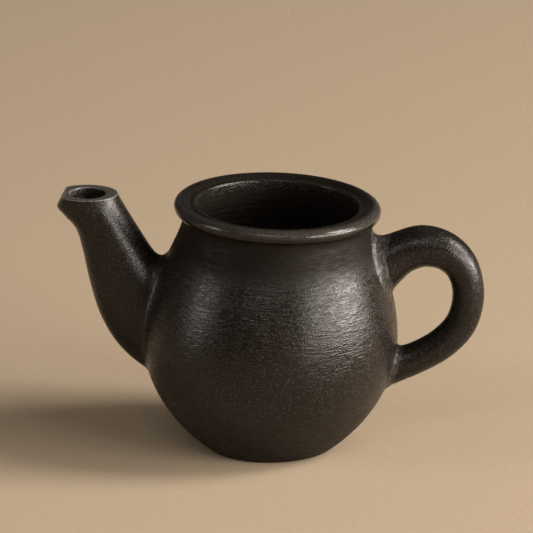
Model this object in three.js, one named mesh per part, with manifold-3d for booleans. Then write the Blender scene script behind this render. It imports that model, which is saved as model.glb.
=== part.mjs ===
// A hand-thrown black pottery teapot: a round-bellied vessel with a rolled ring round its mouth,
// a short spout with a knife-cut tip, and a pulled loop handle, each luted on with soft clay.
// The spout points along -X and the handle along +X. The origin is the centre of the base.
import * as THREE from 'three';
import { mergeVertices } from 'three/addons/utils/BufferGeometryUtils.js';
import Module from 'manifold-3d';

const wasm = await Module();
wasm.setup();

// Vessel, in millimetres
const baseRadius = 30.7;
const bellyRadius = 61.8;
const bellyHeight = 55;
const neckHeight = 115.5;
const wallThickness = 5;
const floorThickness = 7;
const floorRadius = 26;

// Lip, the ledge of the neck outside it, and the ring that is rolled round it on this ledge
const mouthRadius = 39.3;
const lipThickness = 2.4;
const lipCrownRise = 1.1;
const ledgeWidth = 4.3;
const ringWidth = 8;
const ringRollRadius = 3.9;
const ringCrownRise = 3.4;
const grooveRise = 0.8;

// The thrown neck leans a little towards the handle, from the belly upwards
const rimShift = 3.5;
const rimTilt = THREE.MathUtils.degToRad(2);

// Spout: how far its lip reaches from the axis, the height of the cut, how deep it is from side
// to side, its wall, and the small steep facet that a second cut takes off the lip
const spoutReach = 103.4;
const spoutHeight = 125.4;
const spoutTipDepth = 26.6;
const spoutRootDepth = 30;
const spoutWall = 5.4;
const facetWidth = 3.8;
const facetSlope = THREE.MathUtils.degToRad(30);

// Strainer pierced through the vessel wall behind the spout
const strainerHoleRadius = 2.1;
const strainerPitch = 6.4;

// Handle: reach and height of the loop's centre line, and its radii from the upper to the lower root
const handleReach = 96.3;
const handleHeight = 102;
const handleUpperRootRadius = 14;
const handleBowRadius = 10.3;
const handleGripRadius = 7.7;
const handleLowerRootRadius = 9;

// Joining clay, smoothed to a hollow fillet, with a thin bead where limb and wall run in line
const spoutFilletRadius = 4;
const upperFilletRadius = 4.5;
const lowerFilletRadius = 1.8;
const lutingThickness = 0.7;
const filletSink = 1.5;

// Clearance between touching pieces, and the distance that welds points
const jointGap = 0.3;
const weldDistance = 0.0005;

// Facet counts
const turns = 60;
const wallSteps = 10;
const roundSteps = 3;
const spoutSides = 28;
const spoutStations = 20;
const boreSides = 18;
const handleSides = 20;
const handleStations = 34;
const holeSides = 10;
const filletSides = 28;
const filletSteps = 4;
const wallReadings = 100;
const creaseSteps = 50;
const halvings = 30;

// Shares that shape the vessel's curves
const baseHandleOutShare = 0.27;
const baseHandleUpShare = 0.11;
const bellyHandleDownShare = 0.54;
const bellyHandleUpShare = 0.45;
const neckHandleInShare = 0.2;
const neckHandleDownShare = 0.117;
const floorHandleOutShare = 0.1;
const lipHandleDownShare = 0.25;
const ringCrownShare = 0.45;

// Where the limbs sit on the vessel: the spout's root and the lower root of the handle as shares of
// bellyHeight, the upper root as a share of the way from bellyHeight to neckHeight
const spoutUnderRootShare = 0.57;
const spoutBackRootShare = 1.309;
const handleUpperRootShare = 0.5;
const handleLowerRootShare = 0.682;

// The spout's stations: reach and height of its underside, reach and height of its back, and how
// much of the root's depth each one has. A reach is a share of the way from the wall to spoutReach,
// and a height is a share of the way from the root to spoutHeight
const spoutStationShares = [
  [-0.144, 0, -0.375, 0, 1],
  [0.124, 0.103, -0.2, 0.159, 0.97],
  [0.321, 0.207, -0.073, 0.263, 0.88],
  [0.511, 0.351, 0.045, 0.366, 0.7],
  [0.674, 0.537, 0.204, 0.516, 0.42],
  [0.777, 0.704, 0.371, 0.714, 0.17],
  [0.848, 0.816, 0.45, 0.857, 0.03],
  [0.946, 0.888, 0.497, 0.955, 0],
  [1.003, 0.933, 0.533, 1.04, 0],
  [1, 1.04, 0.567, 1.141, 0],
];

// The handle's centre line, up from the upper root to its crown and down to the lower root: reach
// as a share of the way from the wall to handleReach, height as one from the root to handleHeight
const upperLineShares = [
  [-0.306, 0],
  [0.022, 0.495],
  [0.284, 0.842],
  [0.506, 1],
];
const lowerLineShares = [
  [0.727, 0.965],
  [0.893, 0.862],
  [0.982, 0.699],
  [0.973, 0.535],
  [0.867, 0.378],
  [0.61, 0.23],
  [0.291, 0.122],
  [-0.009, 0.051],
  [-0.242, 0],
];

// Places along the handle's line, as shares of its length: where it has thinned to the bow's and
// the grip's radius, where it starts to swell for the lower root, and the middle
const bowPlaceShare = 0.2;
const gripPlaceShare = 0.5;
const tailPlaceShare = 0.82;
const handleMiddleShare = 0.5;

// How far along a limb its direction is read, as a share of its length, and the longest and the
// shortest leg of a fillet, as shares of its radius and of the luting's thickness
const directionShare = 0.01;
const longestLegShare = 2;
const shortestLegShare = 3;

// Burnished black clay, the smoother roll of the ring, and the duller joining clay
const black = new THREE.Color('#1d1a18');
const soot = new THREE.Color('#171514');
const burnishedRoughness = 0.5;
const ringRoughness = 0.45;
const lutingRoughness = 0.6;

// Radii and heights worked out from the dimensions above
const lipRadius = mouthRadius + lipThickness;
const neckRadius = lipRadius + ledgeWidth;
const ringInnerRadius = lipRadius + jointGap;
const ringCentreRadius = ringInnerRadius + ringWidth - ringRollRadius;
const ringBottom = neckHeight + jointGap;
const ringCentreHeight = ringBottom + ringRollRadius;
const lipEdgeHeight = ringCentreHeight + grooveRise;

// Turns a geometry into a solid that can be joined and cut
function toSolid(geometry) {
  const bare = geometry.clone();
  bare.deleteAttribute('normal');
  bare.deleteAttribute('uv');
  const merged = mergeVertices(bare, weldDistance);
  const corners = merged.index.array;
  const kept = [];
  for (let i = 0; i < corners.length; i += 3) {
    const [a, b, c] = [corners[i], corners[i + 1], corners[i + 2]];
    if (a !== b && b !== c && c !== a) kept.push(a, b, c);
  }
  const vertProperties = new Float32Array(merged.attributes.position.array);
  const triVerts = new Uint32Array(kept);
  return new wasm.Manifold(new wasm.Mesh({ numProp: 3, vertProperties, triVerts }));
}

// Turns a solid back into a geometry with flat faces
function toGeometry(solid) {
  const mesh = solid.getMesh();
  const geometry = new THREE.BufferGeometry();
  geometry.setAttribute('position', new THREE.BufferAttribute(mesh.vertProperties, 3));
  geometry.setIndex(new THREE.BufferAttribute(mesh.triVerts, 1));
  return geometry;
}

function addPiece(group, name, solid, colour, roughness) {
  const material = new THREE.MeshStandardMaterial({ color: colour, roughness, metalness: 0 });
  const piece = new THREE.Mesh(toGeometry(solid), material);
  piece.name = name;
  group.add(piece);
}

// The lean: a section at this height is turned about the axis and moved towards the handle
function leanShare(height) {
  return THREE.MathUtils.smoothstep(height, bellyHeight, ringCentreHeight);
}

function leanPoint(point) {
  const share = leanShare(point.z);
  const turn = rimTilt * share;
  const x = point.x;
  point.x = x * Math.cos(turn) + rimShift * share;
  point.z -= x * Math.sin(turn);
  return point;
}

function lean(geometry) {
  const places = geometry.attributes.position;
  const point = new THREE.Vector3();
  for (let i = 0; i < places.count; i += 1) {
    leanPoint(point.fromBufferAttribute(places, i));
    places.setXYZ(i, point.x, point.y, point.z);
  }
  return geometry;
}

// Revolves a profile of radius and height about the vertical axis, then gives it the lean
function revolve(points) {
  const geometry = new THREE.LatheGeometry(points, turns);
  geometry.rotateX(Math.PI / 2);
  return toSolid(lean(geometry));
}

// Outside of the vessel from the edge of the base up to the neck
function outerWallPath() {
  const path = new THREE.Path();
  const baseToBelly = bellyRadius - baseRadius;
  const bellyToNeck = bellyRadius - neckRadius;
  const upperRise = neckHeight - bellyHeight;
  path.moveTo(baseRadius, 0);
  path.bezierCurveTo(
    baseRadius + baseHandleOutShare * baseToBelly, baseHandleUpShare * bellyHeight,
    bellyRadius, bellyHeight - bellyHandleDownShare * bellyHeight,
    bellyRadius, bellyHeight,
  );
  path.bezierCurveTo(
    bellyRadius, bellyHeight + bellyHandleUpShare * upperRise,
    neckRadius - neckHandleInShare * bellyToNeck, neckHeight - neckHandleDownShare * upperRise,
    neckRadius, neckHeight,
  );
  return path;
}

// The whole profile of the vessel: base, wall, ledge for the ring, lip, inside wall and floor
function vesselProfile() {
  const lipMiddle = mouthRadius + lipThickness / 2;
  const innerBelly = bellyRadius - wallThickness;
  const innerRise = lipEdgeHeight - bellyHeight;
  const lip = new THREE.Path();
  lip.moveTo(lipRadius, neckHeight);
  lip.lineTo(lipRadius, lipEdgeHeight);
  lip.absellipse(lipMiddle, lipEdgeHeight, lipThickness / 2, lipCrownRise, 0, Math.PI, false);
  const inside = new THREE.Path();
  inside.moveTo(mouthRadius, lipEdgeHeight);
  inside.bezierCurveTo(
    mouthRadius, lipEdgeHeight - lipHandleDownShare * innerRise,
    innerBelly, bellyHeight + bellyHandleUpShare * innerRise,
    innerBelly, bellyHeight,
  );
  inside.bezierCurveTo(
    innerBelly, bellyHeight - bellyHandleDownShare * bellyHeight,
    floorRadius + floorHandleOutShare * innerBelly, floorThickness,
    floorRadius, floorThickness,
  );
  return dropRepeats([
    new THREE.Vector2(0, 0),
    ...outerWallPath().getPoints(wallSteps),
    ...lip.getPoints(roundSteps),
    ...inside.getPoints(wallSteps),
    new THREE.Vector2(0, floorThickness),
  ]);
}

function dropRepeats(points) {
  return points.filter((point, i) => i === 0 || point.distanceTo(points[i - 1]) > weldDistance);
}

// The ring's outside, from its underside round to the top of its crown, pushed outwards by a gap
function ringOutsidePath(gap) {
  const roll = ringRollRadius + gap;
  const rise = ringCrownRise + gap;
  const path = new THREE.Path();
  path.moveTo(ringInnerRadius, ringBottom - gap);
  path.lineTo(ringCentreRadius, ringBottom - gap);
  path.absarc(ringCentreRadius, ringCentreHeight, roll, -Math.PI / 2, 0, false);
  path.absellipse(ringCentreRadius, ringCentreHeight, roll, rise, 0, Math.PI / 2, false);
  return path;
}

// The outside of vessel and ring as one filled solid, pushed outwards by a gap
function vesselEnvelope(gap) {
  const wall = dropRepeats(outerWallPath().getPoints(wallSteps));
  const last = wall.length - 1;
  const pushed = wall.map((point, i) => {
    const along = wall[Math.min(i + 1, last)].clone().sub(wall[Math.max(i - 1, 0)]).normalize();
    return new THREE.Vector2(point.x + along.y * gap, point.y - along.x * gap);
  });
  const ring = dropRepeats(ringOutsidePath(gap).getPoints(roundSteps));
  const bottom = new THREE.Vector2(0, pushed[0].y);
  const top = new THREE.Vector2(0, ring[ring.length - 1].y);
  const neckEdge = new THREE.Vector2(pushed[last].x, neckHeight + gap);
  const neckMiddle = new THREE.Vector2(0, neckHeight + gap);
  const filledRing = [new THREE.Vector2(0, ring[0].y), ...ring, top];
  const filledWall = [bottom, ...pushed, neckEdge, neckMiddle];
  return revolve(filledWall).add(revolve(filledRing));
}

// Outer radius of the vessel at a height, read off the same wall curve
const wallTable = outerWallPath().getPoints(wallReadings);
function wallRadius(height) {
  const next = wallTable.findIndex((point) => point.y >= height);
  if (next <= 0) return next === 0 ? wallTable[0].x : neckRadius;
  const [low, high] = [wallTable[next - 1], wallTable[next]];
  const share = (height - low.y) / (high.y - low.y);
  return THREE.MathUtils.lerp(low.x, high.x, share);
}

// How far the wall stands from the axis at a height, on the handle's side or the spout's
function wallReach(height, side) {
  return wallRadius(height) + side * rimShift * leanShare(height);
}

// A point of a limb's line, from shares of the way out from the wall and up from the root
function limbStation(reachShare, heightShare, rootHeight, reach, height, side) {
  const { lerp } = THREE.MathUtils;
  const z = lerp(rootHeight, height, heightShare);
  return new THREE.Vector3(side * lerp(wallReach(z, side), reach, reachShare), 0, z);
}

// Closed rings of points, joined end to end into one skin, with its ends capped or closed on itself
function skin(rings, closed) {
  const count = rings[0].length;
  const places = rings.flat();
  const corners = [];
  const spans = closed ? rings.length : rings.length - 1;
  for (let i = 0; i < spans; i += 1) {
    const here = i * count;
    const there = ((i + 1) % rings.length) * count;
    for (let k = 0; k < count; k += 1) {
      const next = (k + 1) % count;
      corners.push(here + k, there + next, here + next, here + k, there + k, there + next);
    }
  }
  if (!closed) {
    for (const [ring, start, flip] of [[0, 0, true], [rings.length - 1, spans * count, false]]) {
      const middle = new THREE.Vector3();
      rings[ring].forEach((point) => middle.addScaledVector(point, 1 / count));
      places.push(middle);
      for (let k = 0; k < count; k += 1) {
        const next = start + ((k + 1) % count);
        if (flip) corners.push(start + k, next, places.length - 1);
        else corners.push(next, start + k, places.length - 1);
      }
    }
  }
  const geometry = new THREE.BufferGeometry().setFromPoints(places);
  geometry.setIndex(corners);
  return geometry;
}

// The two rails that the spout runs between, each point carrying its share of the root's depth
const spoutRails = [spoutUnderRootShare, spoutBackRootShare].map((rootShare, side) => {
  const points = spoutStationShares.map((row) => {
    const [reachShare, heightShare] = row.slice(2 * side);
    const root = rootShare * bellyHeight;
    const point = limbStation(reachShare, heightShare, root, spoutReach, spoutHeight, -1);
    point.y = row[row.length - 1];
    return point;
  });
  return new THREE.CatmullRomCurve3(points, false, 'centripetal');
});

// Maps a share of the length to a point on the spout's skin, or on its bore's
function spoutPoint(share, angle, growth) {
  const under = spoutRails[0].getPoint(share);
  const back = spoutRails[1].getPoint(share);
  const rootShare = Math.max(under.y, 0);
  under.y = 0;
  back.y = 0;
  const across = under.clone().sub(back).divideScalar(2);
  const halfDepth = THREE.MathUtils.lerp(spoutTipDepth, spoutRootDepth, rootShare) / 2 + growth;
  const point = back.add(across);
  across.setLength(across.length() + growth);
  point.addScaledVector(across, Math.cos(angle));
  point.y = halfDepth * Math.sin(angle);
  return point;
}

// The handle: a round section swept along its centre line
const upperRootHeight = THREE.MathUtils.lerp(bellyHeight, neckHeight, handleUpperRootShare);
const lowerRootHeight = handleLowerRootShare * bellyHeight;
const handlePoints = [
  ...upperLineShares.map((row) => limbStation(...row, upperRootHeight, handleReach, handleHeight, 1)),
  ...lowerLineShares.map((row) => limbStation(...row, lowerRootHeight, handleReach, handleHeight, 1)),
];
const handleLine = new THREE.CatmullRomCurve3(handlePoints, false, 'centripetal');

function handleRadius(share) {
  const { smoothstep, lerp } = THREE.MathUtils;
  if (share < gripPlaceShare) {
    const nearRoot = lerp(
      handleUpperRootRadius, handleBowRadius, smoothstep(share, 0, bowPlaceShare),
    );
    return lerp(nearRoot, handleGripRadius, smoothstep(share, bowPlaceShare, gripPlaceShare));
  }
  return lerp(handleGripRadius, handleLowerRootRadius, smoothstep(share, tailPlaceShare, 1));
}

function handlePoint(share, angle, growth) {
  const along = handleLine.getTangentAt(share);
  const outward = new THREE.Vector3(-along.z, 0, along.x);
  const radius = handleRadius(share) + growth;
  const point = handleLine.getPointAt(share);
  point.addScaledVector(outward, radius * Math.cos(angle));
  point.y = radius * Math.sin(angle);
  return point;
}

// Rings of a limb from one share of its length to another
function limbRings(pointAt, sides, stations, from, to) {
  const rings = [];
  for (let i = 0; i < stations; i += 1) {
    const share = THREE.MathUtils.lerp(from, to, i / (stations - 1));
    const ring = [];
    for (let k = 0; k < sides; k += 1) ring.push(pointAt(share, (2 * Math.PI * k) / sides));
    rings.push(ring);
  }
  return rings;
}

function limbSolid(pointAt, sides, stations) {
  return toSolid(skin(limbRings(pointAt, sides, stations, 0, 1), false));
}

const spoutSkin = (growth) => (share, angle) => spoutPoint(share, angle, growth);
const handleSkin = (growth) => (share, angle) => handlePoint(share, angle, growth);
const borePoint = spoutSkin(-spoutWall);

// How far a point stands clear of the vessel's outside, below zero when it is in the wall
function clearance(point) {
  const share = leanShare(point.z);
  const height = point.z + point.x * Math.sin(rimTilt * share);
  const reach = Math.hypot(point.x - rimShift * share, point.y);
  return reach - wallRadius(height);
}

// The direction straight out of the vessel's wall
function outOfWall(point) {
  const step = jointGap;
  const slopes = ['x', 'y', 'z'].map((axis) => {
    const ahead = point.clone();
    const behind = point.clone();
    ahead[axis] += step;
    behind[axis] -= step;
    return clearance(ahead) - clearance(behind);
  });
  return new THREE.Vector3(...slopes).normalize();
}

// The share of a limb's length, between one inside the wall and one outside it, where a test turns
function halve(inside, outside, isOutside) {
  let [near, far] = [inside, outside];
  for (let i = 0; i < halvings; i += 1) {
    const middle = (near + far) / 2;
    if (isOutside(middle)) far = middle;
    else near = middle;
  }
  return (near + far) / 2;
}

// Points round the line where a limb leaves the wall, each with its share of the limb's length:
// the limb is walked inwards up to the wall, and the last step is halved until it is found
function creaseLine(pointAt, sides, inside, outside) {
  const line = [];
  for (let k = 0; k < sides; k += 1) {
    const angle = (2 * Math.PI * k) / sides;
    const isOutside = (s) => clearance(pointAt(s, angle)) > 0;
    const shareAt = (step) => THREE.MathUtils.lerp(outside, inside, step / creaseSteps);
    let step = 1;
    while (step < creaseSteps && isOutside(shareAt(step))) step += 1;
    const share = halve(shareAt(step), shareAt(step - 1), isOutside);
    line.push({ angle, share, point: pointAt(share, angle) });
  }
  return line;
}

// A direction of unit length, turned to the side that a guide points to
function facing(direction, guide) {
  direction.normalize();
  return direction.dot(guide) < 0 ? direction.negate() : direction;
}

// Joining clay smoothed into the crease as a hollow fillet: one section at each point of the crease
function filletRings(pointAt, inside, outside, radius) {
  const line = creaseLine(pointAt, filletSides, inside, outside);
  const shortestLeg = lutingThickness * shortestLegShare;
  const longestLeg = Math.max(radius * longestLegShare, shortestLeg);
  return line.map(({ angle, share, point }, k) => {
    const before = line[(k + filletSides - 1) % filletSides].point;
    const after = line[(k + 1) % filletSides].point;
    const alongCrease = after.clone().sub(before).normalize();
    const offAxis = point.clone().sub(pointAt(share, angle + Math.PI));
    const stepShare = THREE.MathUtils.lerp(share, outside, directionShare);
    const alongLimb = pointAt(stepShare, angle).sub(point);
    const wallNormal = outOfWall(point);
    const limbNormal = facing(alongCrease.clone().cross(alongLimb), offAxis);
    const overWall = facing(alongCrease.clone().cross(wallNormal), offAxis);
    const upLimb = facing(alongCrease.clone().cross(limbNormal), alongLimb);
    const halfOpening = overWall.angleTo(upLimb) / 2;
    const leg = THREE.MathUtils.clamp(radius / Math.tan(halfOpening), shortestLeg, longestLeg);
    const legShare = halve(share, outside, (s) => pointAt(s, angle).distanceTo(point) > leg);
    const limbEnd = pointAt(legShare, angle);
    const wallEnd = point.clone().addScaledVector(overWall, leg);
    wallEnd.addScaledVector(wallNormal, -clearance(wallEnd));
    const outward = overWall.clone().add(upLimb).add(wallNormal).add(limbNormal).normalize();
    const lift = Math.max(0, 2 * lutingThickness - leg * Math.cos(halfOpening));
    const crown = point.clone().addScaledVector(outward, lift);
    const hollow = new THREE.QuadraticBezierCurve3(wallEnd, crown, limbEnd);
    return [
      wallEnd.clone().addScaledVector(wallNormal, -filletSink),
      ...hollow.getPoints(filletSteps),
      limbEnd.clone().addScaledVector(limbNormal, -filletSink),
      point.clone().addScaledVector(outward, -filletSink),
    ];
  });
}

// A solid from closed sections, turned the right way out
function ringSolid(rings) {
  const solid = toSolid(skin(rings, true));
  if (solid.volume() > 0) return solid;
  return toSolid(skin(rings.map((ring) => ring.slice().reverse()), true));
}

// All that lies on one side of a flat cut
function cutAway(point, normal) {
  const block = new THREE.BoxGeometry(spoutReach, spoutReach, spoutReach);
  block.translate(0, 0, spoutReach / 2);
  const turn = new THREE.Quaternion().setFromUnitVectors(new THREE.Vector3(0, 0, 1), normal);
  block.applyQuaternion(turn);
  block.translate(point.x, point.y, point.z);
  return toSolid(block);
}

// Holes of the strainer in a honeycomb pattern, within the bore where it meets the wall
function strainerHoles() {
  const mouth = creaseLine(borePoint, boreSides, 0, 1).map(({ point }) => point);
  const heights = mouth.map((point) => point.z);
  const middleHeight = (Math.max(...heights) + Math.min(...heights)) / 2;
  const halfHeight = (Math.max(...heights) - Math.min(...heights)) / 2 - strainerHoleRadius;
  const halfDepth = Math.max(...mouth.map((point) => point.y)) - strainerHoleRadius;
  const rowPitch = strainerPitch * Math.sin(Math.PI / 3);
  const rows = Math.floor(halfHeight / rowPitch);
  const columns = Math.ceil(halfDepth / strainerPitch);
  const holes = [];
  for (let row = -rows; row <= rows; row += 1) {
    const shift = row % 2 === 0 ? 0 : strainerPitch / 2;
    for (let column = -columns; column <= columns; column += 1) {
      const y = column * strainerPitch + shift;
      const rise = row * rowPitch;
      if ((y / halfDepth) ** 2 + (rise / halfHeight) ** 2 > 1) continue;
      const hole = new THREE.CylinderGeometry(
        strainerHoleRadius, strainerHoleRadius, bellyRadius, holeSides,
      );
      hole.rotateZ(Math.PI / 2);
      hole.translate(-bellyRadius, y, middleHeight + rise);
      holes.push(toSolid(hole));
    }
  }
  return holes;
}

// The ring rolled round the lip: a round underside and outside, and a lower crown inside
function ringProfile() {
  const ring = ringOutsidePath(0);
  const grooveHeight = ringCentreHeight + grooveRise;
  const crownHeight = ringCentreHeight + ringCrownRise;
  const crownRadius = THREE.MathUtils.lerp(ringInnerRadius, ringCentreRadius, ringCrownShare);
  ring.quadraticCurveTo(crownRadius, crownHeight, ringInnerRadius, grooveHeight);
  ring.lineTo(ringInnerRadius, ringBottom);
  return dropRepeats(ring.getPoints(roundSteps));
}

// What limbs and luting are cut back from, with the joint's gap
const envelope = vesselEnvelope(jointGap);

function makeBody() {
  return strainerHoles().reduce((body, hole) => body.subtract(hole), revolve(vesselProfile()));
}

function makeSpout() {
  const up = new THREE.Vector3(0, 0, 1);
  const outward = new THREE.Vector3(-Math.cos(facetSlope), 0, Math.sin(facetSlope));
  const facetEdge = new THREE.Vector3(facetWidth - spoutReach, 0, spoutHeight);
  return limbSolid(spoutSkin(0), spoutSides, spoutStations)
    .subtract(limbSolid(borePoint, boreSides, spoutStations))
    .subtract(envelope)
    .subtract(cutAway(facetEdge, up))
    .subtract(cutAway(facetEdge, outward));
}

function makeHandle() {
  return limbSolid(handleSkin(0), handleSides, handleStations).subtract(envelope);
}

function makeSpoutLuting() {
  return ringSolid(filletRings(spoutSkin(0), 0, 1, spoutFilletRadius))
    .subtract(envelope)
    .subtract(limbSolid(spoutSkin(jointGap), spoutSides, spoutStations));
}

function makeHandleLuting(inside, radius) {
  return ringSolid(filletRings(handleSkin(0), inside, handleMiddleShare, radius))
    .subtract(envelope)
    .subtract(limbSolid(handleSkin(jointGap), handleSides, handleStations));
}

const teapot = new THREE.Group();
addPiece(teapot, 'body', makeBody(), black, burnishedRoughness);
addPiece(teapot, 'rim_ring', revolve(ringProfile()), black, ringRoughness);
addPiece(teapot, 'spout', makeSpout(), black, burnishedRoughness);
addPiece(teapot, 'handle', makeHandle(), black, burnishedRoughness);
addPiece(teapot, 'spout_luting', makeSpoutLuting(), soot, lutingRoughness);
const upperLuting = makeHandleLuting(0, upperFilletRadius);
const lowerLuting = makeHandleLuting(1, lowerFilletRadius);
addPiece(teapot, 'handle_upper_luting', upperLuting, soot, lutingRoughness);
addPiece(teapot, 'handle_lower_luting', lowerLuting, soot, lutingRoughness);

export default teapot;
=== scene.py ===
import math

import bpy
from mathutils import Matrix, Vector


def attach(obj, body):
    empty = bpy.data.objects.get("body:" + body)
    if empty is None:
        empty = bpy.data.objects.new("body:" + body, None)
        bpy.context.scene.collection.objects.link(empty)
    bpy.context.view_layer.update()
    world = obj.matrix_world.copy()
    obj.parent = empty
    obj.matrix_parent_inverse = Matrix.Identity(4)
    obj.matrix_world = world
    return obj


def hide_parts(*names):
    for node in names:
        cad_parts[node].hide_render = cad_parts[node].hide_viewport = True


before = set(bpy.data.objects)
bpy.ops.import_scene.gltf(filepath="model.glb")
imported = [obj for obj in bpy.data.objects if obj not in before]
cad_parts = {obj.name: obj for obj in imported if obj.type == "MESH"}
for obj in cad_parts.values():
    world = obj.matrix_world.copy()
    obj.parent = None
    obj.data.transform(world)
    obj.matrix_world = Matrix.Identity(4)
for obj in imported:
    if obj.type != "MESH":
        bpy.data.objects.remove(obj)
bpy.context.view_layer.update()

# The body: dark clay thrown on the wheel into one round-bellied wall with a collar and a small
# beaded lip. The inside keeps the marks of the fingers, the outside was burnished while leather
# hard, and nine holes pierced behind the spout hold back the leaves. Smoke firing turned it black.

mm = 0.001
body_sides = 176

# Half widths and heights of the wall, in curves up the outside and then down the inside
foot_to_belly = ((30.7, 0), (39.1, 6.05), (61.8, 25.3), (61.8, 55))
belly_to_neck = ((61.8, 55), (61.8, 82.2), (42.85, 108.4), (46, 115.5))
lip_to_inner_belly = ((39.3, 120.5), (39.3, 104.1), (56.8, 84.5), (56.8, 55))
inner_belly_to_floor = ((56.8, 55), (56.8, 25.3), (31.7, 7), (26, 7))

# The neck leaned a little towards the handle when the pot was lifted off the wheel
belly_height = 55
collar_height = 119.7
lean_shift = 3.5
lean_angle = math.radians(2)


def bezier(curve, count):
    """Points along a curve of four or three control points, without its first one."""
    points = []
    for step in range(1, count + 1):
        layer = [Vector(point) for point in curve]
        while len(layer) > 1:
            layer = [a.lerp(b, step / count) for a, b in zip(layer, layer[1:])]
        points.append(layer[0])
    return points


def smooth_share(value, low, high):
    """0 below low, 1 above high, and a smooth share between them."""
    share = min(max((value - low) / (high - low), 0), 1)
    return share * share * (3 - 2 * share)


def wheel_ring(radius, height):
    """A level ring of the thrown wall with its lean, as middle x and z, half widths and tilt."""
    share = smooth_share(height, belly_height, collar_height)
    return (lean_shift * share, height, radius, radius, -lean_angle * share)


def shape_ring(old, new):
    """Turns, widens and moves the selected ring from one place and size to another.

    An ellipse that changes its outline is laid level first and tilted again afterwards.
    """
    no_change = 1e-6
    middle = (old[0] * mm, 0, old[1] * mm)
    across, depth = new[2] / old[2], new[3] / old[3]
    uneven = abs(across - depth) > no_change
    if uneven:
        bpy.ops.transform.rotate(value=-old[4], orient_axis="Y", center_override=middle)
    if uneven or abs(across - 1) > no_change:
        bpy.ops.transform.resize(value=(across, depth, 1 if uneven else across),
                                 center_override=middle)
    turn = new[4] if uneven else new[4] - old[4]
    if abs(turn) > no_change / 10:
        bpy.ops.transform.rotate(value=turn, orient_axis="Y", center_override=middle)
    bpy.ops.transform.translate(value=((new[0] - old[0]) * mm, 0, (new[1] - old[1]) * mm))


def start_ring(name, sides, ring):
    """Begins a piece as one ring of edges, in edit mode."""
    bpy.ops.object.select_all(action="DESELECT")
    bpy.ops.mesh.primitive_circle_add(vertices=sides, radius=ring[2] * mm, fill_type="NOTHING")
    piece = bpy.context.object
    piece.name = piece.data.name = name
    bpy.ops.object.mode_set(mode="EDIT")
    bpy.ops.mesh.select_mode(type="VERT")
    bpy.ops.mesh.select_all(action="SELECT")
    shape_ring((0, 0, ring[2], ring[2], 0), ring)
    return piece


def pull_rings(rings):
    """Extrudes the selected ring on from the first of these rings to the last."""
    for old, new in zip(rings, rings[1:]):
        bpy.ops.mesh.extrude_region_move()
        shape_ring(old, new)


def close_pole():
    """Closes the selected ring with a fan of faces round one point."""
    bpy.ops.mesh.extrude_region_move()
    bpy.ops.mesh.merge(type="CENTER")


def close_start(piece, ring):
    """Closes the ring that a piece was begun with, then selects that ring again."""
    close_pole()
    middle = Vector((ring[0], 0, ring[1])) * mm
    bpy.ops.mesh.select_all(action="DESELECT")
    bpy.ops.object.mode_set(mode="OBJECT")
    for vert in piece.data.vertices:
        vert.select = (vert.co - middle).length > ring[2] / 2 * mm
    bpy.ops.object.mode_set(mode="EDIT")


def join_skin():
    """Joins doubled points, so that a piece is one skin, and turns its faces outwards."""
    bpy.ops.mesh.select_all(action="SELECT")
    bpy.ops.mesh.remove_doubles(threshold=0.002 * mm)
    bpy.ops.mesh.normals_make_consistent(inside=False)


def finish_mesh(sharp=40):
    """Closes the modelling of the piece at hand and shades it smooth up to an angle."""
    join_skin()
    bpy.ops.object.mode_set(mode="OBJECT")
    bpy.ops.object.shade_smooth_by_angle(angle=math.radians(sharp))


def cut_with(piece, cutter):
    """Takes a cutter's space out of a piece, removes the cutter and shades the piece again."""
    modifier = piece.modifiers.new("cut", "BOOLEAN")
    modifier.operation = "DIFFERENCE"
    modifier.solver = "EXACT"
    modifier.object = cutter
    bpy.ops.object.select_all(action="DESELECT")
    piece.select_set(True)
    bpy.context.view_layer.objects.active = piece
    bpy.ops.object.modifier_apply(modifier=modifier.name)
    bpy.data.objects.remove(cutter)
    bpy.ops.object.shade_smooth_by_angle(angle=math.radians(40))


outer_wall = [Vector(foot_to_belly[0])] + bezier(foot_to_belly, 26) + bezier(belly_to_neck, 34)

# A small worn round at the foot, the wall, the ledge under the collar and the beaded lip
foot_edge = ((29.6, 0), (30.7, 0), (31.9, 0.87))
foot_edge_reach = 32.2
outside = [Vector(foot_edge[0])] + bezier(foot_edge, 4)
outside += [point for point in outer_wall if point.x > foot_edge_reach]
ledge = [Vector((43.5, 115.5)), Vector((41.7, 115.5)), Vector((41.7, 118.4))]
lip = [Vector((41.7, 120)), Vector((42.7, 120.5))]
lip += bezier(((42.7, 120.5), (41.5, 121.55), (40.5, 121.6)), 6)
lip += bezier(((40.5, 121.6), (39.3, 121.6), (39.3, 120.5)), 5)
inside = bezier(lip_to_inner_belly, 66) + bezier(inner_belly_to_floor, 62)
floor_radius, floor_height = inner_belly_to_floor[-1]
inside += [Vector((floor_radius * (1 - step / 20), floor_height)) for step in range(1, 20)]


def finger_marks(line):
    """Pushes a line of the inside in and out, as the fingers left it on the turning wheel.

    The lip stays plain, and the marks start a little below it.
    """
    marked = []
    travelled = 0
    for i, point in enumerate(line):
        ahead = line[min(i + 1, len(line) - 1)] - line[max(i - 1, 0)]
        travelled += (point - line[max(i - 1, 0)]).length
        fade = smooth_share(travelled, 2, 14)
        wave = 0.09 * math.sin(travelled * 1.47) + 0.06 * math.sin(travelled * 2.31 + 1)
        normal = Vector((ahead.y, -ahead.x)).normalized()
        marked.append(point + normal * wave * fade)
    return marked


profile = outside + ledge + lip + finger_marks(inside)
body_rings = [wheel_ring(*point) for point in profile]
body = start_ring("body_thrown", body_sides, body_rings[0])
close_start(body, body_rings[0])
pull_rings(body_rings)
close_pole()
finish_mesh()

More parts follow.
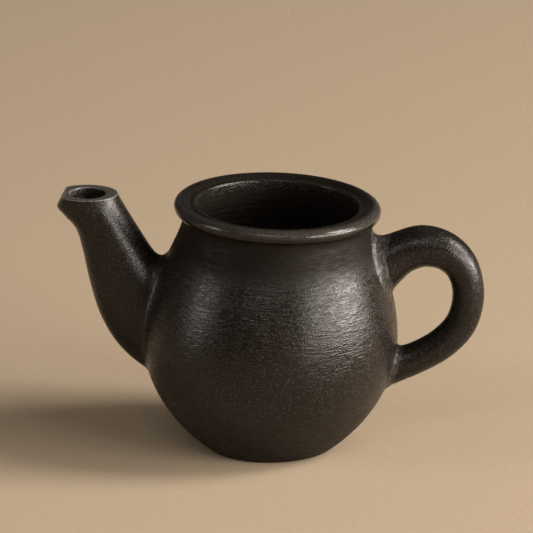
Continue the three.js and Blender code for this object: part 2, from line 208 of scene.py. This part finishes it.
# The strainer: one round pin, copied to its nine places and pushed through the wall
pin_radius = 2.1
pin_length = 26
pin_middle = -56
pin_places = [(0, 53), (-3.2, 58.5), (3.2, 58.5), (-6.4, 64.1), (0, 64.1), (6.4, 64.1),
              (-3.2, 69.6), (3.2, 69.6), (0, 75.2)]
bpy.ops.object.select_all(action="DESELECT")
pins = []
for across, height in pin_places:
    bpy.ops.mesh.primitive_cylinder_add(vertices=24, radius=pin_radius * mm,
                                        depth=pin_length * mm,
                                        location=(pin_middle * mm, across * mm, height * mm),
                                        rotation=(0, math.pi / 2, 0))
    pins.append(bpy.context.object)
for pin in pins:
    pin.select_set(True)
bpy.ops.object.join()
pins = bpy.context.object
bpy.ops.object.transform_apply()
cut_with(body, pins)


class Spread:
    """A number that changes over a surface, on which Python's operators add Math nodes."""

    def __init__(self, finish, socket):
        self.finish = finish
        self.socket = socket

    def math(self, operation, first, second):
        node = self.finish.node("ShaderNodeMath", {"operation": operation},
                                {0: first, 1: second})
        return Spread(self.finish, node.outputs[0])

    def __add__(self, other):
        return self.math("ADD", self, other)

    def __radd__(self, other):
        return self.math("ADD", other, self)

    def __sub__(self, other):
        return self.math("SUBTRACT", self, other)

    def __rsub__(self, other):
        return self.math("SUBTRACT", other, self)

    def __mul__(self, other):
        return self.math("MULTIPLY", self, other)

    def __rmul__(self, other):
        return self.math("MULTIPLY", other, self)

    def above(self, low, high):
        """0 below low, 1 above high, and smooth between them."""
        node = self.finish.node(
            "ShaderNodeMapRange", {"interpolation_type": "SMOOTHSTEP"},
            {"Value": self, "From Min": low, "From Max": high, "To Min": 0.0, "To Max": 1.0})
        return Spread(self.finish, node.outputs[0])


class Finish:
    """A material whose nodes are added one by one and read Object coordinates."""

    def __init__(self, name):
        self.material = bpy.data.materials.new(name)
        self.material.use_nodes = True
        self.tree = self.material.node_tree
        self.tree.nodes.clear()
        self.place = self.node("ShaderNodeTexCoord").outputs["Object"]

    def node(self, kind, settings=None, inputs=None):
        """Adds a node of a type with its settings and with values or links for its inputs."""
        node = self.tree.nodes.new(kind)
        for key, value in (settings or {}).items():
            setattr(node, key, value)
        for key, value in (inputs or {}).items():
            if isinstance(value, Spread):
                value = value.socket
            if isinstance(value, bpy.types.NodeSocket):
                self.tree.links.new(value, node.inputs[key])
            else:
                node.inputs[key].default_value = value
        return node

    def vector(self, operation, first, second):
        """A place or colour worked out from two others."""
        return self.node("ShaderNodeVectorMath", {"operation": operation},
                         {0: first, 1: second}).outputs[0]

    def axis(self, index):
        """The x, y or z of the place on the piece."""
        split = self.node("ShaderNodeSeparateXYZ", None, {0: self.place})
        return Spread(self, split.outputs[index])

    def length(self, place):
        """How far a place lies from the origin."""
        node = self.node("ShaderNodeVectorMath", {"operation": "LENGTH"}, {0: place})
        return Spread(self, node.outputs["Value"])

    def noise(self, place, scale, detail, depth=None):
        """Noise over a place, or over a place and one more number."""
        inputs = {"Vector": place, "Scale": scale, "Detail": detail}
        if depth is not None:
            inputs["W"] = depth
        size = "3D" if depth is None else "4D"
        node = self.node("ShaderNodeTexNoise", {"noise_dimensions": size}, inputs)
        return Spread(self, node.outputs[0])

    def grains(self, size, detail, shift=0):
        """Noise over the piece with grains of a size in millimetres."""
        place = self.vector("ADD", self.place, (shift, 0, 0))
        return self.noise(place, 1 / (size * mm), detail)

    def tint(self, share, first, second):
        """A mix of two colours."""
        node = self.node("ShaderNodeMix", {"data_type": "RGBA"},
                         {0: share, 6: first, 7: second})
        return node.outputs[2]

    def surface(self, colour, roughness, height, matt=None):
        """The shader itself, with a relief in millimetres and a share of it without sheen."""
        relief = self.node("ShaderNodeBump", None,
                           {"Strength": 1.0, "Distance": mm, "Height": height})
        shader = self.node("ShaderNodeBsdfPrincipled", None, {
            "Base Color": colour, "Roughness": roughness, "IOR": 1.38,
            "Normal": relief.outputs[0]})
        if matt is not None:
            matt_and_painted_shade = self.node("ShaderNodeBsdfPrincipled", None, {
                "Base Color": colour, "Roughness": 0.9, "Specular IOR Level": 0.0,
                "Normal": relief.outputs[0]})
            shader = self.node("ShaderNodeMixShader", None,
                               {0: matt, 1: shader.outputs[0], 2: matt_and_painted_shade.outputs[0]})
        self.node("ShaderNodeOutputMaterial", None, {0: shader.outputs[0]})


def streaks(finish, middle, axis, length, pitch, seed):
    """Wavy lines that a tool leaves running round an axis: long round it, fine across."""
    place = finish.vector("SUBTRACT", finish.place, tuple(part * mm for part in middle))
    wander = finish.node("ShaderNodeTexNoise", None,
                         {"Vector": place, "Scale": 1 / (4 * pitch * mm), "Detail": 0.0})
    sway = finish.vector("SUBTRACT", wander.outputs["Color"], (0.5, 0.5, 0.5))
    sway = finish.vector("MULTIPLY", sway, (pitch * mm,) * 3)
    place = finish.vector("ADD", place, sway)
    along_lines = [1 / (length * mm)] * 3
    along_lines[axis] = 1 / (pitch * mm)
    off_axis = [1 / (pitch * mm)] * 3
    off_axis[axis] = 0
    stretched = finish.vector("MULTIPLY", place, along_lines)
    shifted = finish.vector("ADD", stretched, (seed, seed * 1.7, seed * 0.6))
    reach = finish.length(finish.vector("MULTIPLY", place, off_axis))
    return finish.noise(shifted, 1.0, 0.0, reach)


def black_clay(name, middle, axis, streak_length, streak_pitch, streak_height, base_roughness,
               seed, grit=1, wear_and_highlight=None, matt_and_shaded=None):
    """Smoke-blackened clay, burnished along lines that run round an axis.

    Lengths, pitches and heights are in millimetres, and grit is how sandy the clay stays. The last
    two functions say where edges and crests are painted lighter, as rubbing and as painted
    highlight, and where the clay is left matt and tinted darker as painted shade.
    """
    brown_black = (0.0055, 0.0037, 0.0024, 1)
    grey_black = (0.0068, 0.0052, 0.004, 1)
    burnished = (0.013, 0.011, 0.0092, 1)
    sand_grey = (0.04, 0.035, 0.03, 1)
    # The next colour is painted shade, tinted in under the collar and towards the foot
    matt_and_painted_shade = (0.007, 0.0045, 0.0028, 1)
    # The next colour is the light grey of rubbed edges and of painted highlights
    rubbed_and_highlight_grey = (0.14, 0.128, 0.115, 1)

    finish = Finish(name)
    lines = streaks(finish, middle, axis, streak_length, streak_pitch, seed)
    broad = streaks(finish, middle, axis, streak_length * 3, streak_pitch * 4, seed + 3)
    grain = finish.grains(0.75, 1.0, seed)
    patches = finish.grains(26, 2.0)
    dents = finish.grains(9, 1.0)
    ridges = lines.above(0.38, 0.62)
    sand = grain.above(0.54, 0.68)

    smoked = finish.tint(patches.above(0.35, 0.65), brown_black, grey_black)
    colour = finish.tint(ridges * 0.4, smoked, burnished)
    colour = finish.tint(sand * 0.8 * grit, colour, sand_grey)
    roughness = base_roughness + 0.06 - ridges * 0.17 + sand * 0.12 + (broad - 0.5) * 0.12
    height = (lines * streak_height + broad * streak_height * 0.6 + grain * 0.14 * grit
              + dents * 0.15)
    matt = None
    # The matt zone loses its sheen and is tinted darker: painted shade under the collar and
    # towards the foot
    if matt_and_shaded is not None:
        matt_and_shaded_share = matt_and_shaded(finish)
        matt = matt_and_shaded_share * 0.6
        colour = finish.tint(matt_and_shaded_share * 0.8, colour, matt_and_painted_shade)
        roughness = roughness + matt_and_shaded_share * 0.3
        height = height * (1 - matt_and_shaded_share * 0.35)
    # Edges and crests are tinted light grey, as rubbing and as painted highlight
    if wear_and_highlight is not None:
        colour = finish.tint(wear_and_highlight(finish) * grain.above(0.25, 0.5), colour, rubbed_and_highlight_grey)
    finish.surface(colour, roughness, height, matt)
    return finish.material


def matt_and_shaded_neck_and_foot(finish):
    """The neck under the collar and the wall near the foot, which were hardly burnished and are
    left matt; both are also painted darker as shade, under the collar and towards the foot.
    """
    height = finish.axis(2)
    neck = height.above(91 * mm, 105 * mm) * (1 - height.above(116 * mm, 118 * mm))
    foot = 1 - height.above(4 * mm, 44 * mm)
    return neck + foot * 0.7


body.data.materials.append(black_clay(
    "black_clay_body", middle=(2, 0, 0), axis=2, streak_length=5.5, streak_pitch=0.66,
    streak_height=0.18, base_roughness=0.3, seed=0, matt_and_shaded=matt_and_shaded_neck_and_foot))
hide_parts("body")
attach(body, "root")

# The collar: a roll of the same clay turned round the lip on its ledge, rounded outside and under
# and dished inside, so that a fine groove runs between it and the lip. It was burnished smoothest.

collar = [Vector((41.4, 118)), Vector((41.4, 115.2)), Vector((45.2, 115.2))]
collar += [Vector((45.6, 115.75))]
roll = Vector((46.1, collar_height))
roll_radius = 3.9
crown_rise = 3.4
for k in range(6):
    swing = math.pi * k / 10
    collar.append(roll + Vector((math.sin(swing), -math.cos(swing))) * roll_radius)
for k in range(1, 8):
    swing = math.pi * k / 14
    collar.append(roll + Vector((roll_radius * math.cos(swing), crown_rise * math.sin(swing))))
collar += bezier(((46.1, 123.1), (44.2, 123), (43, 121.1), (41.4, 120.85)), 10)
collar += [Vector((41.2, 120.3))]

collar_rings = [wheel_ring(*point) for point in collar + collar[:1]]
ring = start_ring("collar_ring", body_sides, collar_rings[0])
pull_rings(collar_rings)
finish_mesh()


def crest_painted_highlight(finish):
    """The outer crest of the collar, painted a little lighter as a highlight."""
    off_axis = finish.vector("SUBTRACT", finish.place, (lean_shift * mm, 0, 0))
    reach = finish.length(finish.vector("MULTIPLY", off_axis, (1, 1, 0)))
    height = finish.axis(2) + finish.axis(0) * math.sin(lean_angle)
    return reach.above(45.5 * mm, 48 * mm) * height.above(118.5 * mm, 121 * mm) * 0.2


ring.data.materials.append(black_clay(
    "black_clay_ring", middle=(lean_shift, 0, 0), axis=2, streak_length=7, streak_pitch=0.7,
    streak_height=0.04, base_roughness=0.21, seed=7, grit=0.3, wear_and_highlight=crest_painted_highlight))
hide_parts("rim_ring")
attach(ring, "root")

# The spout: pulled and bent from a tube of soft clay, wide where it leaves the belly and narrow at
# the tip, which was cut level with a wire. A second small cut took off the corner that would drip.

spout_sides = 96
tip_height = 125.39
tip_edge = 0.45
corner_start = -99.6
corner_slope = math.radians(30)

# The outline of its underside and of its back, from inside the belly to above the tip
spout_under = [(-50.03, 31.35), (-65.45, 41.04), (-75.05, 50.82), (-82.62, 64.36),
               (-87.78, 81.85), (-91.1, 97.56), (-94.3, 108.09), (-100.1, 114.87),
               (-103.4, 119.1), (-103.2, 129.16)]
spout_back = [(-42.4, 71.99), (-46.56, 80.49), (-50.05, 86.04), (-53.48, 91.54),
              (-58.72, 99.55), (-65.32, 110.13), (-69.91, 117.76), (-72.77, 123),
              (-74.96, 127.54), (-77.03, 132.93)]


def smooth_line(points):
    """A smooth line through all the points, in even steps between each two."""
    steps = 24
    points = [Vector(point) for point in points]
    points = [points[0] * 2 - points[1]] + points + [points[-1] * 2 - points[-2]]
    line = []
    for a, b, c, d in zip(points, points[1:], points[2:], points[3:]):
        ta = 0
        tb = ta + (b - a).length ** 0.5
        tc = tb + (c - b).length ** 0.5
        td = tc + (d - c).length ** 0.5
        for step in range(steps):
            t = tb + (tc - tb) * step / steps
            ab = a * ((tb - t) / (tb - ta)) + b * ((t - ta) / (tb - ta))
            bc = b * ((tc - t) / (tc - tb)) + c * ((t - tb) / (tc - tb))
            cd = c * ((td - t) / (td - tc)) + d * ((t - tc) / (td - tc))
            abc = ab * ((tc - t) / (tc - ta)) + bc * ((t - ta) / (tc - ta))
            bcd = bc * ((td - t) / (td - tb)) + cd * ((t - tb) / (td - tb))
            line.append(abc * ((tc - t) / (tc - tb)) + bcd * ((t - tb) / (tc - tb)))
    line.append(points[-2])
    return line


def along(line, share):
    """The point at a share of a line's length."""
    lengths = [(b - a).length for a, b in zip(line, line[1:])]
    left = share * sum(lengths)
    for point, after, length in zip(line, line[1:], lengths):
        if left <= length:
            return point.lerp(after, left / length)
        left -= length
    return line[-1].copy()


def cut_at(line, height):
    """The part of a rising line below a height."""
    below = [point for point in line if point.y < height]
    above = line[len(below)]
    last = below[-1]
    return below + [last.lerp(above, (height - last.y) / (above.y - last.y))]


under_line = cut_at(smooth_line(spout_under), tip_height - tip_edge)
back_line = cut_at(smooth_line(spout_back), tip_height - tip_edge)
root_depth = 15
tip_depth = 13.3


def spout_ring(share, thin_across=0, thin_depth=0):
    """A ring of the spout at a share of its length, or of its bore, smaller by the wall."""
    under = along(under_line, share)
    back = along(back_line, share)
    middle = (under + back) / 2
    across = back - under
    depth = root_depth + (tip_depth - root_depth) * smooth_share(share, 0.14, 0.9)
    return (middle.x, middle.y, across.length / 2 - thin_across, depth - thin_depth,
            math.atan2(across.y, across.x))


outer_rings = [spout_ring(step / 92) for step in range(93)]
tip = outer_rings[-1]

# The tip: its rubbed edge, the level cut, and the rounded edge of the bore
edge_rings = []
for k in range(1, 5):
    swing = math.pi / 2 * k / 4
    inset = tip_edge * (1 - math.cos(swing))
    edge_rings.append((tip[0], tip_height - tip_edge + tip_edge * math.sin(swing),
                       tip[2] - inset, tip[3] - inset, 0))
bore_edge = 0.9
bore_shift = 0.3
bore_across = 8.5
bore_depth = 9.2
flat_rings = []
for share in (0.3, 0.6, 0.85, 1):
    across = tip[2] - tip_edge + (bore_across + bore_edge - tip[2] + tip_edge) * share
    depth = tip[3] - tip_edge + (bore_depth + bore_edge - tip[3] + tip_edge) * share
    flat_rings.append((tip[0] + bore_shift * share, tip_height, across, depth, 0))
for k in range(1, 5):
    swing = math.pi / 2 * k / 4
    inset = bore_edge * (1 - math.sin(swing))
    flat_rings.append((tip[0] + bore_shift, tip_height - bore_edge * (1 - math.cos(swing)),
                       bore_across + inset, bore_depth + inset, 0))

# The bore, back down to where the spout began, in a wall that changes a little near the tip
bore_rings = []
bore_top = 0.985
wall_across = 5.4
wall_depth = 5.2
for step in range(1, 45):
    share = bore_top - bore_top * step / 44
    near_tip = smooth_share(share, 0.85, 1)
    bore_rings.append(spout_ring(share, wall_across + 0.6 * near_tip,
                                 wall_depth - 1.1 * near_tip))

spout = start_ring("spout_pulled", spout_sides, outer_rings[0])
pull_rings(outer_rings + edge_rings + flat_rings + bore_rings + outer_rings[:1])
join_skin()

# The second cut slopes down and outwards from just inside the corner of the tip
bpy.ops.mesh.bisect(plane_co=(corner_start * mm, 0, tip_height * mm),
                    plane_no=(-math.cos(corner_slope), 0, math.sin(corner_slope)),
                    use_fill=True, clear_outer=True)
finish_mesh()


def wall_core():
    """The filled outside of body and collar, set in by a little, that limbs are cut back from."""
    sink = 1.2
    wall = [point - Vector((sink, 0)) for point in outer_wall]
    round_collar = [Vector((48, 116.5)), Vector((49 - sink, 119)), Vector((44, 122))]
    core_rings = [wheel_ring(*point) for point in wall + round_collar]
    core = start_ring("core", body_sides, core_rings[0])
    close_start(core, core_rings[0])
    pull_rings(core_rings)
    close_pole()
    finish_mesh()
    return core


cut_with(spout, wall_core())


def tip_marks_and_painted_light(finish):
    """Light lines along the edges of both cuts, partly rubbing and partly painted highlight, the
    raw face of the level cut, and painted light on the left inside of the bore's opening.
    """
    height = finish.axis(2)
    # Light lines under the level cut and along the corner cut: partly rubbing, partly painted
    # highlight
    level = height.above(124.85 * mm, 124.95 * mm) * (1 - height.above(125.25 * mm, 125.36 * mm))
    depth = ((finish.axis(0) - corner_start * mm) * math.cos(corner_slope)
             + (tip_height * mm - height) * math.sin(corner_slope))
    corner = (1 - depth.above(0.4 * mm, 0.6 * mm)) * depth.above(0.03 * mm, 0.1 * mm)
    # The left inside of the bore's opening is painted light, where the light falls into it
    mouth_middle = (-89.2 * mm, 0, 0)
    off_bore = finish.vector("SUBTRACT", finish.place, mouth_middle)
    reach = finish.length(finish.vector("MULTIPLY", off_bore, (1, 1, 0)))
    painted_light_in_bore = (1 - reach.above(8.2 * mm, 9 * mm)) * (1 - finish.axis(0).above(-94 * mm, -88 * mm))
    painted_light_in_bore = painted_light_in_bore * height.above(117 * mm, 120 * mm)
    cut_face = height.above(125.33 * mm, 125.38 * mm)
    return (level + corner * 0.4 + cut_face * 0.38 + painted_light_in_bore * 0.3).above(0.1, 0.7)


spout.data.materials.append(black_clay(
    "black_clay_spout", middle=(-60, 0, 140), axis=1, streak_length=1.5, streak_pitch=0.7,
    streak_height=0.08, base_roughness=0.31, seed=11, grit=0.8, wear_and_highlight=tip_marks_and_painted_light))
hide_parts("spout")
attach(spout, "root")

# The handle: a strap of clay pulled to a round taper, looped from the shoulder down to the lower
# belly, thick where it leaves the shoulder and thinnest at the grip.

handle_sides = 64
handle_points = [(45.22, 85.25), (55.58, 93.54), (65.1, 99.35), (74.33, 102), (84.37, 99.74),
                 (91.86, 93.1), (95.6, 82.59), (95.32, 72.01), (91.68, 61.89), (82.82, 52.34),
                 (71.26, 45.38), (59.69, 40.8), (50.07, 37.51)]
handle_line = smooth_line(handle_points)


def handle_radius(share):
    """Thick at the upper root, thinnest at the grip and a little thicker at the lower root."""
    upper_root, shoulder, grip, lower_root = 14, 10.3, 7.7, 9
    root = upper_root + (shoulder - upper_root) * smooth_share(share, 0, 0.2)
    bow = root + (grip - root) * smooth_share(share, 0.2, 0.5)
    return bow + (lower_root - grip) * smooth_share(share, 0.82, 1)


def handle_ring(share):
    """The ring of the handle at a share of its length, square to its line."""
    middle = along(handle_line, share)
    ahead = along(handle_line, min(share + 0.004, 1)) - along(handle_line, max(share - 0.004, 0))
    radius = handle_radius(share)
    return (middle.x, middle.y, radius, radius, math.atan2(ahead.y, ahead.x) + math.pi / 2)


handle_rings = [handle_ring(step / 169) for step in range(170)]
handle = start_ring("handle_pulled", handle_sides, handle_rings[0])
close_start(handle, handle_rings[0])
pull_rings(handle_rings)
close_pole()
finish_mesh()
cut_with(handle, wall_core())
handle.data.materials.append(black_clay(
    "black_clay_handle", middle=(76, 0, 76), axis=1, streak_length=3, streak_pitch=0.7,
    streak_height=0.05, base_roughness=0.31, seed=17, grit=0.8))
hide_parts("handle")
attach(handle, "root")

# The lutings: soft clay laid round each root and wiped into the crease with a wet finger, so that
# wall and limb run into each other in a hollow curve. Where they were wiped most they are lighter,
# and the joints on the lit side are painted lighter still as a sheen.


def wall_radius(height):
    """The radius of the thrown wall at a height, before its lean."""
    for low, high in zip(outer_wall, outer_wall[1:]):
        if low.y <= height <= high.y:
            return low.x + (high.x - low.x) * (height - low.y) / (high.y - low.y)
    return outer_wall[-1].x if height > outer_wall[-1].y else outer_wall[0].x


def clearance(place):
    """How far a point stands out of the wall, below zero inside it."""
    share = smooth_share(place.z, belly_height, collar_height)
    height = place.z + place.x * math.sin(lean_angle * share)
    return math.hypot(place.x - lean_shift * share, place.y) - wall_radius(height)


def out_of_wall(place):
    """The direction straight out of the wall."""
    slopes = []
    for axis in range(3):
        step = Vector((0, 0, 0))
        step[axis] = 0.3
        slopes.append(clearance(place + step) - clearance(place - step))
    return Vector(slopes).normalized()


def on_ring(ring, angle):
    """The point of a ring at an angle, from the side that its tilt points to."""
    x, z, across, depth, tilt = ring
    out = across * math.cos(angle)
    return Vector((x + out * math.cos(tilt), depth * math.sin(angle), z + out * math.sin(tilt)))


def halve(near, far, is_far):
    """Closes in on the value between near and far where a test changes."""
    for _ in range(24):
        middle = (near + far) / 2
        if is_far(middle):
            far = middle
        else:
            near = middle
    return (near + far) / 2


def facing(direction, guide):
    """A direction, turned round if it points away from a guide."""
    direction = direction.normalized()
    return -direction if direction.dot(guide) < 0 else direction


luting_sides = 144
hollow_steps = 12
crease_steps = 40
clay_thickness = 0.7
tail_reach = 0.9
tail_sink = 0.1
clay_depth = 1.6


def luting(name, limb_ring, root, free, radius, smear):
    """A coil of soft clay round a limb's root, wiped to a hollow curve and smeared up the limb.

    Root and free are shares of the limb's length inside the wall and well clear of it. The crease
    between them is found first, and then a section of the coil is laid at each of its points.
    """
    crease = []
    steps = [free + (root - free) * step / crease_steps for step in range(crease_steps + 1)]
    for k in range(luting_sides):
        angle = 2 * math.pi * k / luting_sides

        def stands_free(share):
            return clearance(on_ring(limb_ring(share), angle)) > 0

        inner = next(i for i, share in enumerate(steps) if not stands_free(share))
        share = halve(steps[inner], steps[inner - 1], stands_free)
        crease.append((angle, share, on_ring(limb_ring(share), angle)))
    sections = []
    for k, (angle, share, point) in enumerate(crease):
        before = crease[k - 1][2]
        after = crease[(k + 1) % luting_sides][2]
        run = (after - before).normalized()
        off_axis = point - on_ring(limb_ring(share), angle + math.pi)
        onward = on_ring(limb_ring(share + (free - share) * 0.01), angle) - point
        wall_normal = out_of_wall(point)
        limb_normal = facing(run.cross(onward), off_axis)
        over_wall = facing(run.cross(wall_normal), off_axis)
        up_limb = facing(run.cross(limb_normal), onward)
        half_opening = over_wall.angle(up_limb) / 2
        leg = min(max(radius / math.tan(half_opening), 3 * clay_thickness), 2 * radius)

        def up_the_limb(reach):
            def is_past(tried):
                return (on_ring(limb_ring(tried), angle) - point).length > reach

            return on_ring(limb_ring(halve(share, free, is_past)), angle)

        def over_the_wall(reach):
            place = point + over_wall * reach
            return place - wall_normal * clearance(place)

        wall_tail = over_the_wall(leg + tail_reach) - wall_normal * tail_sink
        limb_tail = up_the_limb(leg * smear + tail_reach) - limb_normal * tail_sink
        outward = (over_wall + up_limb + wall_normal + limb_normal).normalized()
        crown = point + outward * max(0, 2 * clay_thickness - leg * math.cos(half_opening))
        wall_end = over_the_wall(leg)
        hollow = [wall_end] + bezier((wall_end, crown, up_the_limb(leg * smear)), hollow_steps)
        sections.append([wall_tail - wall_normal, wall_tail] + hollow
                        + [limb_tail, limb_tail - limb_normal, point - outward * clay_depth])

    # A torus gives the coil its faces, and its points then move to the sections
    count = len(sections[0])
    bpy.ops.object.select_all(action="DESELECT")
    bpy.ops.mesh.primitive_torus_add(major_segments=luting_sides, minor_segments=count,
                                     major_radius=20 * mm, minor_radius=3 * mm)
    piece = bpy.context.object
    piece.name = piece.data.name = name
    for vert in piece.data.vertices:
        vert.co = sections[vert.index // count][vert.index % count] * mm
    bpy.ops.object.mode_set(mode="EDIT")
    finish_mesh(50)
    return piece


def joining_clay(name, seed, light):
    """The same clay wiped with a wet finger, lighter where more of it was smeared out, and lighter
    still by a share that is a painted sheen where the light falls on the joint.
    """
    brown_black = (0.0065, 0.0048, 0.0034, 1)
    grey_black = (0.012, 0.0105, 0.009, 1)
    smeared_and_sheen_grey = (0.045, 0.041, 0.037, 1)
    wiped_and_sheen_grey = (0.11, 0.1, 0.09, 1)

    finish = Finish(name)
    stretched = finish.vector("MULTIPLY", finish.place, (1, 0.6, 0.5))
    wipes = finish.noise(stretched, 1 / (1.3 * mm), 2.0)
    grain = finish.grains(0.55, 1.0, seed)
    patches = finish.grains(14, 2.0)
    smoked = finish.tint(patches.above(0.35, 0.65), brown_black, grey_black)
    colour = finish.tint(light * 0.6, smoked, smeared_and_sheen_grey)
    colour = finish.tint(wipes.above(0.48, 0.64) * light * 0.8, colour, wiped_and_sheen_grey)
    roughness = 0.38 + (grain - 0.5) * 0.3 - wipes.above(0.45, 0.65) * 0.12
    finish.surface(colour, roughness, wipes * 0.4 + grain * 0.1)
    return finish.material


# Name, limb, its shares inside and clear of the wall, radius, smear, lightness and CAD node; the
# lightness is partly a painted sheen, higher on the joints where the light falls
joints = [
    ("spout_joint", spout_ring, 0, 0.8, 5.6, 1, 0.1, "spout_luting"),
    ("handle_upper_joint", handle_ring, 0, 0.45, 5, 1.6, 0.8, "handle_upper_luting"),
    ("handle_lower_joint", handle_ring, 1, 0.6, 1.8, 1.6, 0.5, "handle_lower_luting"),
]
for seed, (name, limb_ring, root, free, radius, smear, light, node) in enumerate(joints):
    joint = luting(name, limb_ring, root, free, radius, smear)
    joint.data.materials.append(joining_clay("joining_clay_" + name, seed, light))
    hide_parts(node)
    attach(joint, "root")

# The setting: a plain pale floor and five broad soft lamps, three on the right, one above the
# camera and one low on the left. The camera looks down a little from almost straight in front.

bpy.ops.object.select_all(action="DESELECT")
bpy.ops.mesh.primitive_plane_add(size=24, location=(0, 0, 0))
floor = bpy.context.object
floor.name = "floor"
paper = Finish("pale_floor")
tooth = paper.grains(3, 3.0)
pale = paper.tint(tooth, (0.44, 0.35, 0.25, 1), (0.495, 0.393, 0.28, 1))
paper.surface(pale, 0.85, tooth * 0.1, matt=1.0)
floor.data.materials.append(paper.material)

pot_middle = Vector((0, 0, 0.07))


def lamp(name, azimuth, elevation, distance, width, height, power, colour):
    """A soft lamp of a size in metres that faces the pot, its azimuth counted from the front."""
    around, up = math.radians(azimuth), math.radians(elevation)
    away = Vector((math.sin(around) * math.cos(up), -math.cos(around) * math.cos(up),
                   math.sin(up)))
    light = bpy.data.lights.new(name, "AREA")
    light.shape = "RECTANGLE"
    light.size = width
    light.size_y = height
    light.energy = power
    light.color = colour
    piece = bpy.data.objects.new(name, light)
    piece.location = away * distance + pot_middle
    piece.rotation_euler = away.to_track_quat("Z", "Y").to_euler()
    bpy.context.collection.objects.link(piece)


right_white = (1, 0.92, 0.85)
left_white = (1, 0.93, 0.86)
lamp("key_lamp", azimuth=89, elevation=37, distance=3, width=1.1, height=1.2, power=90,
     colour=right_white)
lamp("low_lamp", azimuth=82, elevation=9.5, distance=4.5, width=2.6, height=1.2, power=250,
     colour=right_white)
lamp("spout_lamp", azimuth=51, elevation=15, distance=3, width=1.2, height=1.3, power=53,
     colour=right_white)
lamp("front_lamp", azimuth=-4, elevation=41, distance=3, width=1.5, height=0.45, power=13,
     colour=left_white)
lamp("side_lamp", azimuth=-70, elevation=19, distance=3, width=0.95, height=1.3, power=20,
     colour=left_white)

# Even light from all round is faint, and only the camera sees the backdrop brighter
world = bpy.data.worlds.new("room_light")
world.use_nodes = True
bpy.context.scene.world = world
backdrop = world.node_tree.nodes["Background"]
backdrop.inputs["Color"].default_value = (1, 0.88, 0.74, 1)
seen = world.node_tree.nodes.new("ShaderNodeLightPath")
brightness = world.node_tree.nodes.new("ShaderNodeMapRange")
brightness.inputs["To Min"].default_value = 0.06
brightness.inputs["To Max"].default_value = 0.85
world.node_tree.links.new(seen.outputs["Is Camera Ray"], brightness.inputs["Value"])
world.node_tree.links.new(brightness.outputs[0], backdrop.inputs["Strength"])

camera = bpy.data.cameras.new("camera")
camera.lens = 472.8
camera.sensor_width = 36
camera.clip_end = 60
viewer = bpy.data.objects.new("camera", camera)
viewer.location = (0.2229, -3.2135, 1.1304)
looked_at = Vector((-0.001833, -0.000128, 0.0899))
sight = looked_at - viewer.location
viewer.rotation_euler = sight.to_track_quat("-Z", "Y").to_euler()
bpy.context.collection.objects.link(viewer)
bpy.context.scene.camera = viewer

bpy.context.scene.view_settings.view_transform = "Standard"
